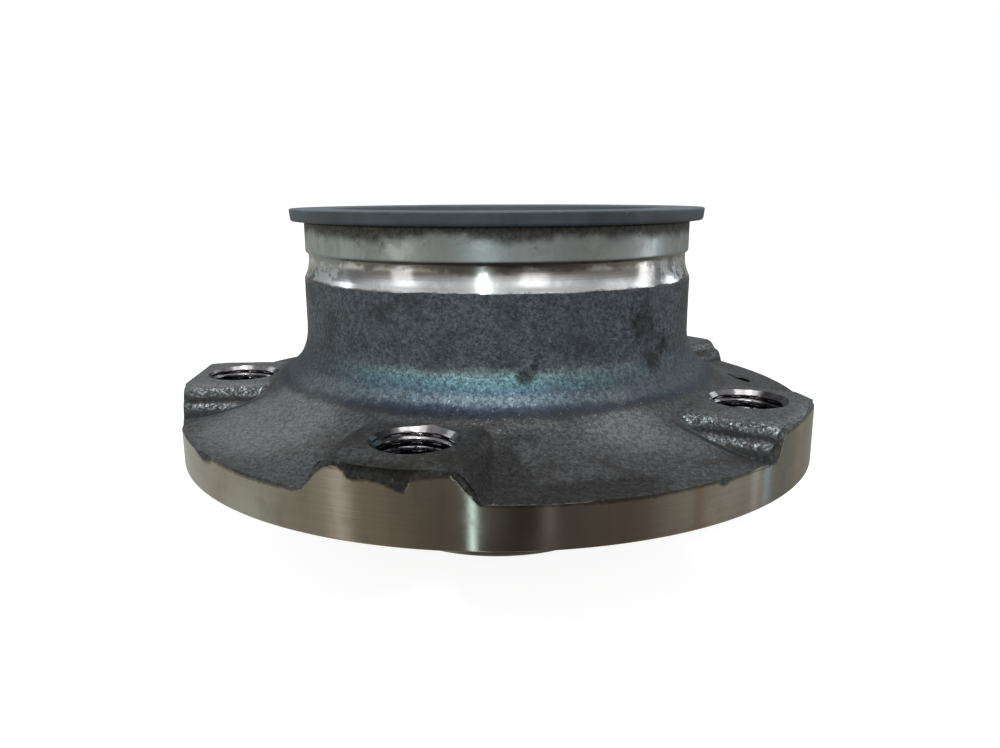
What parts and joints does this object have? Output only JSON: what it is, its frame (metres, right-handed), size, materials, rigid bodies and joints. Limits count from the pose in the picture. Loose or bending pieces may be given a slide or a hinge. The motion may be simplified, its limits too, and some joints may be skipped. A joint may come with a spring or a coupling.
{
  "type": "wheel hub bearing",
  "caption": "Wheel hub bearing unit: a flanged outer ring with tapped bolt bosses and a speed-sensor encoder ring turns on two rows of balls about a pair of inner rings.",
  "frame": {"origin": "centre of the wheel-bolt circle on the machined wheel face", "axes": "+Z along the axis of rotation, inboard, towards the stub axle; -Z towards the wheel"},
  "size_m": [0.134, 0.134, 0.0685],
  "materials": {
    "forged_steel": "as forged, dark scale, machined where it fits",
    "encoder_magnet": "matte moulded, magnetised",
    "stamped_steel": "stamped, passivated",
    "bearing_steel": "hardened and ground",
    "ball_steel": "polished",
    "spring_steel": "blued spring steel",
    "cage_polymer": "glass-filled polyamide, natural",
    "seal_rubber": "satin nitrile rubber"
  },
  "bodies": {
    "axle_rings": {"inner_ring_inboard": "bearing_steel", "inner_ring_outboard": "bearing_steel", "inner_ring_clip": "spring_steel", "inboard_slinger": "stamped_steel"},
    "hub": {"hub_flange": "forged_steel", "encoder_carrier": "stamped_steel", "encoder_ring": "encoder_magnet", "inboard_seal_case": "stamped_steel", "inboard_seal_lips": "seal_rubber", "outboard_seal_case": "stamped_steel", "outboard_seal_lip": "seal_rubber"},
    "cage_in": {"cage_inboard": "cage_polymer"},
    "cage_out": {"cage_outboard": "cage_polymer"},
    "ball_inboard_01": {"ball_inboard_01": "ball_steel"},
    "ball_inboard_02": {"ball_inboard_02": "ball_steel"},
    "ball_inboard_03": {"ball_inboard_03": "ball_steel"},
    "ball_inboard_04": {"ball_inboard_04": "ball_steel"},
    "ball_inboard_05": {"ball_inboard_05": "ball_steel"},
    "ball_inboard_06": {"ball_inboard_06": "ball_steel"},
    "ball_inboard_07": {"ball_inboard_07": "ball_steel"},
    "ball_inboard_08": {"ball_inboard_08": "ball_steel"},
    "ball_inboard_09": {"ball_inboard_09": "ball_steel"},
    "ball_inboard_10": {"ball_inboard_10": "ball_steel"},
    "ball_inboard_11": {"ball_inboard_11": "ball_steel"},
    "ball_inboard_12": {"ball_inboard_12": "ball_steel"},
    "ball_outboard_01": {"ball_outboard_01": "ball_steel"},
    "ball_outboard_02": {"ball_outboard_02": "ball_steel"},
    "ball_outboard_03": {"ball_outboard_03": "ball_steel"},
    "ball_outboard_04": {"ball_outboard_04": "ball_steel"},
    "ball_outboard_05": {"ball_outboard_05": "ball_steel"},
    "ball_outboard_06": {"ball_outboard_06": "ball_steel"},
    "ball_outboard_07": {"ball_outboard_07": "ball_steel"},
    "ball_outboard_08": {"ball_outboard_08": "ball_steel"},
    "ball_outboard_09": {"ball_outboard_09": "ball_steel"},
    "ball_outboard_10": {"ball_outboard_10": "ball_steel"},
    "ball_outboard_11": {"ball_outboard_11": "ball_steel"},
    "ball_outboard_12": {"ball_outboard_12": "ball_steel"}
  },
  "joints": [
    {"name": "hub_spin", "type": "hinge", "parent": "axle_rings", "child": "hub", "pos_m": [0, 0, 0.0207], "axis": [0, 0, 1], "continuous": true},
    {"name": "cage_in_spin", "type": "hinge", "parent": "axle_rings", "child": "cage_in", "pos_m": [0, 0, 0.0332], "axis": [0, 0, 1], "continuous": true},
    {"name": "cage_out_spin", "type": "hinge", "parent": "axle_rings", "child": "cage_out", "pos_m": [0, 0, 0.0082], "axis": [0, 0, 1], "continuous": true},
    {"name": "ball_inboard_01_roll", "type": "hinge", "parent": "cage_in", "child": "ball_inboard_01", "pos_m": [0.0265, 0, 0.0332], "axis": [0.6157, 0, 0.788], "continuous": true},
    {"name": "ball_inboard_02_roll", "type": "hinge", "parent": "cage_in", "child": "ball_inboard_02", "pos_m": [0.02295, 0.01325, 0.0332], "axis": [0.5332, 0.3078, 0.788], "continuous": true},
    {"name": "ball_inboard_03_roll", "type": "hinge", "parent": "cage_in", "child": "ball_inboard_03", "pos_m": [0.01325, 0.02295, 0.0332], "axis": [0.3078, 0.5332, 0.788], "continuous": true},
    {"name": "ball_inboard_04_roll", "type": "hinge", "parent": "cage_in", "child": "ball_inboard_04", "pos_m": [0, 0.0265, 0.0332], "axis": [0, 0.6157, 0.788], "continuous": true},
    {"name": "ball_inboard_05_roll", "type": "hinge", "parent": "cage_in", "child": "ball_inboard_05", "pos_m": [-0.01325, 0.02295, 0.0332], "axis": [-0.3078, 0.5332, 0.788], "continuous": true},
    {"name": "ball_inboard_06_roll", "type": "hinge", "parent": "cage_in", "child": "ball_inboard_06", "pos_m": [-0.02295, 0.01325, 0.0332], "axis": [-0.5332, 0.3078, 0.788], "continuous": true},
    {"name": "ball_inboard_07_roll", "type": "hinge", "parent": "cage_in", "child": "ball_inboard_07", "pos_m": [-0.0265, 0, 0.0332], "axis": [-0.6157, 0, 0.788], "continuous": true},
    {"name": "ball_inboard_08_roll", "type": "hinge", "parent": "cage_in", "child": "ball_inboard_08", "pos_m": [-0.02295, -0.01325, 0.0332], "axis": [-0.5332, -0.3078, 0.788], "continuous": true},
    {"name": "ball_inboard_09_roll", "type": "hinge", "parent": "cage_in", "child": "ball_inboard_09", "pos_m": [-0.01325, -0.02295, 0.0332], "axis": [-0.3078, -0.5332, 0.788], "continuous": true},
    {"name": "ball_inboard_10_roll", "type": "hinge", "parent": "cage_in", "child": "ball_inboard_10", "pos_m": [0, -0.0265, 0.0332], "axis": [0, -0.6157, 0.788], "continuous": true},
    {"name": "ball_inboard_11_roll", "type": "hinge", "parent": "cage_in", "child": "ball_inboard_11", "pos_m": [0.01325, -0.02295, 0.0332], "axis": [0.3078, -0.5332, 0.788], "continuous": true},
    {"name": "ball_inboard_12_roll", "type": "hinge", "parent": "cage_in", "child": "ball_inboard_12", "pos_m": [0.02295, -0.01325, 0.0332], "axis": [0.5332, -0.3078, 0.788], "continuous": true},
    {"name": "ball_outboard_01_roll", "type": "hinge", "parent": "cage_out", "child": "ball_outboard_01", "pos_m": [0.0256, 0.00686, 0.0082], "axis": [-0.5947, -0.1593, 0.788], "continuous": true},
    {"name": "ball_outboard_02_roll", "type": "hinge", "parent": "cage_out", "child": "ball_outboard_02", "pos_m": [0.01874, 0.01874, 0.0082], "axis": [-0.4353, -0.4353, 0.788], "continuous": true},
    {"name": "ball_outboard_03_roll", "type": "hinge", "parent": "cage_out", "child": "ball_outboard_03", "pos_m": [0.00686, 0.0256, 0.0082], "axis": [-0.1593, -0.5947, 0.788], "continuous": true},
    {"name": "ball_outboard_04_roll", "type": "hinge", "parent": "cage_out", "child": "ball_outboard_04", "pos_m": [-0.00686, 0.0256, 0.0082], "axis": [0.1593, -0.5947, 0.788], "continuous": true},
    {"name": "ball_outboard_05_roll", "type": "hinge", "parent": "cage_out", "child": "ball_outboard_05", "pos_m": [-0.01874, 0.01874, 0.0082], "axis": [0.4353, -0.4353, 0.788], "continuous": true},
    {"name": "ball_outboard_06_roll", "type": "hinge", "parent": "cage_out", "child": "ball_outboard_06", "pos_m": [-0.0256, 0.00686, 0.0082], "axis": [0.5947, -0.1593, 0.788], "continuous": true},
    {"name": "ball_outboard_07_roll", "type": "hinge", "parent": "cage_out", "child": "ball_outboard_07", "pos_m": [-0.0256, -0.00686, 0.0082], "axis": [0.5947, 0.1593, 0.788], "continuous": true},
    {"name": "ball_outboard_08_roll", "type": "hinge", "parent": "cage_out", "child": "ball_outboard_08", "pos_m": [-0.01874, -0.01874, 0.0082], "axis": [0.4353, 0.4353, 0.788], "continuous": true},
    {"name": "ball_outboard_09_roll", "type": "hinge", "parent": "cage_out", "child": "ball_outboard_09", "pos_m": [-0.00686, -0.0256, 0.0082], "axis": [0.1593, 0.5947, 0.788], "continuous": true},
    {"name": "ball_outboard_10_roll", "type": "hinge", "parent": "cage_out", "child": "ball_outboard_10", "pos_m": [0.00686, -0.0256, 0.0082], "axis": [-0.1593, 0.5947, 0.788], "continuous": true},
    {"name": "ball_outboard_11_roll", "type": "hinge", "parent": "cage_out", "child": "ball_outboard_11", "pos_m": [0.01874, -0.01874, 0.0082], "axis": [-0.4353, 0.4353, 0.788], "continuous": true},
    {"name": "ball_outboard_12_roll", "type": "hinge", "parent": "cage_out", "child": "ball_outboard_12", "pos_m": [0.0256, -0.00686, 0.0082], "axis": [-0.5947, 0.1593, 0.788], "continuous": true}
  ],
  "couplings": [
    {"joint": "cage_in_spin", "follows": "hub_spin", "ratio": 0.58851},
    {"joint": "cage_out_spin", "follows": "hub_spin", "ratio": 0.58851},
    {"joint": "ball_inboard_01_roll", "follows": "hub_spin", "ratio": 2.156},
    {"joint": "ball_inboard_02_roll", "follows": "hub_spin", "ratio": 2.156},
    {"joint": "ball_inboard_03_roll", "follows": "hub_spin", "ratio": 2.156},
    {"joint": "ball_inboard_04_roll", "follows": "hub_spin", "ratio": 2.156},
    {"joint": "ball_inboard_05_roll", "follows": "hub_spin", "ratio": 2.156},
    {"joint": "ball_inboard_06_roll", "follows": "hub_spin", "ratio": 2.156},
    {"joint": "ball_inboard_07_roll", "follows": "hub_spin", "ratio": 2.156},
    {"joint": "ball_inboard_08_roll", "follows": "hub_spin", "ratio": 2.156},
    {"joint": "ball_inboard_09_roll", "follows": "hub_spin", "ratio": 2.156},
    {"joint": "ball_inboard_10_roll", "follows": "hub_spin", "ratio": 2.156},
    {"joint": "ball_inboard_11_roll", "follows": "hub_spin", "ratio": 2.156},
    {"joint": "ball_inboard_12_roll", "follows": "hub_spin", "ratio": 2.156},
    {"joint": "ball_outboard_01_roll", "follows": "hub_spin", "ratio": 2.156},
    {"joint": "ball_outboard_02_roll", "follows": "hub_spin", "ratio": 2.156},
    {"joint": "ball_outboard_03_roll", "follows": "hub_spin", "ratio": 2.156},
    {"joint": "ball_outboard_04_roll", "follows": "hub_spin", "ratio": 2.156},
    {"joint": "ball_outboard_05_roll", "follows": "hub_spin", "ratio": 2.156},
    {"joint": "ball_outboard_06_roll", "follows": "hub_spin", "ratio": 2.156},
    {"joint": "ball_outboard_07_roll", "follows": "hub_spin", "ratio": 2.156},
    {"joint": "ball_outboard_08_roll", "follows": "hub_spin", "ratio": 2.156},
    {"joint": "ball_outboard_09_roll", "follows": "hub_spin", "ratio": 2.156},
    {"joint": "ball_outboard_10_roll", "follows": "hub_spin", "ratio": 2.156},
    {"joint": "ball_outboard_11_roll", "follows": "hub_spin", "ratio": 2.156},
    {"joint": "ball_outboard_12_roll", "follows": "hub_spin", "ratio": 2.156}
  ]
}
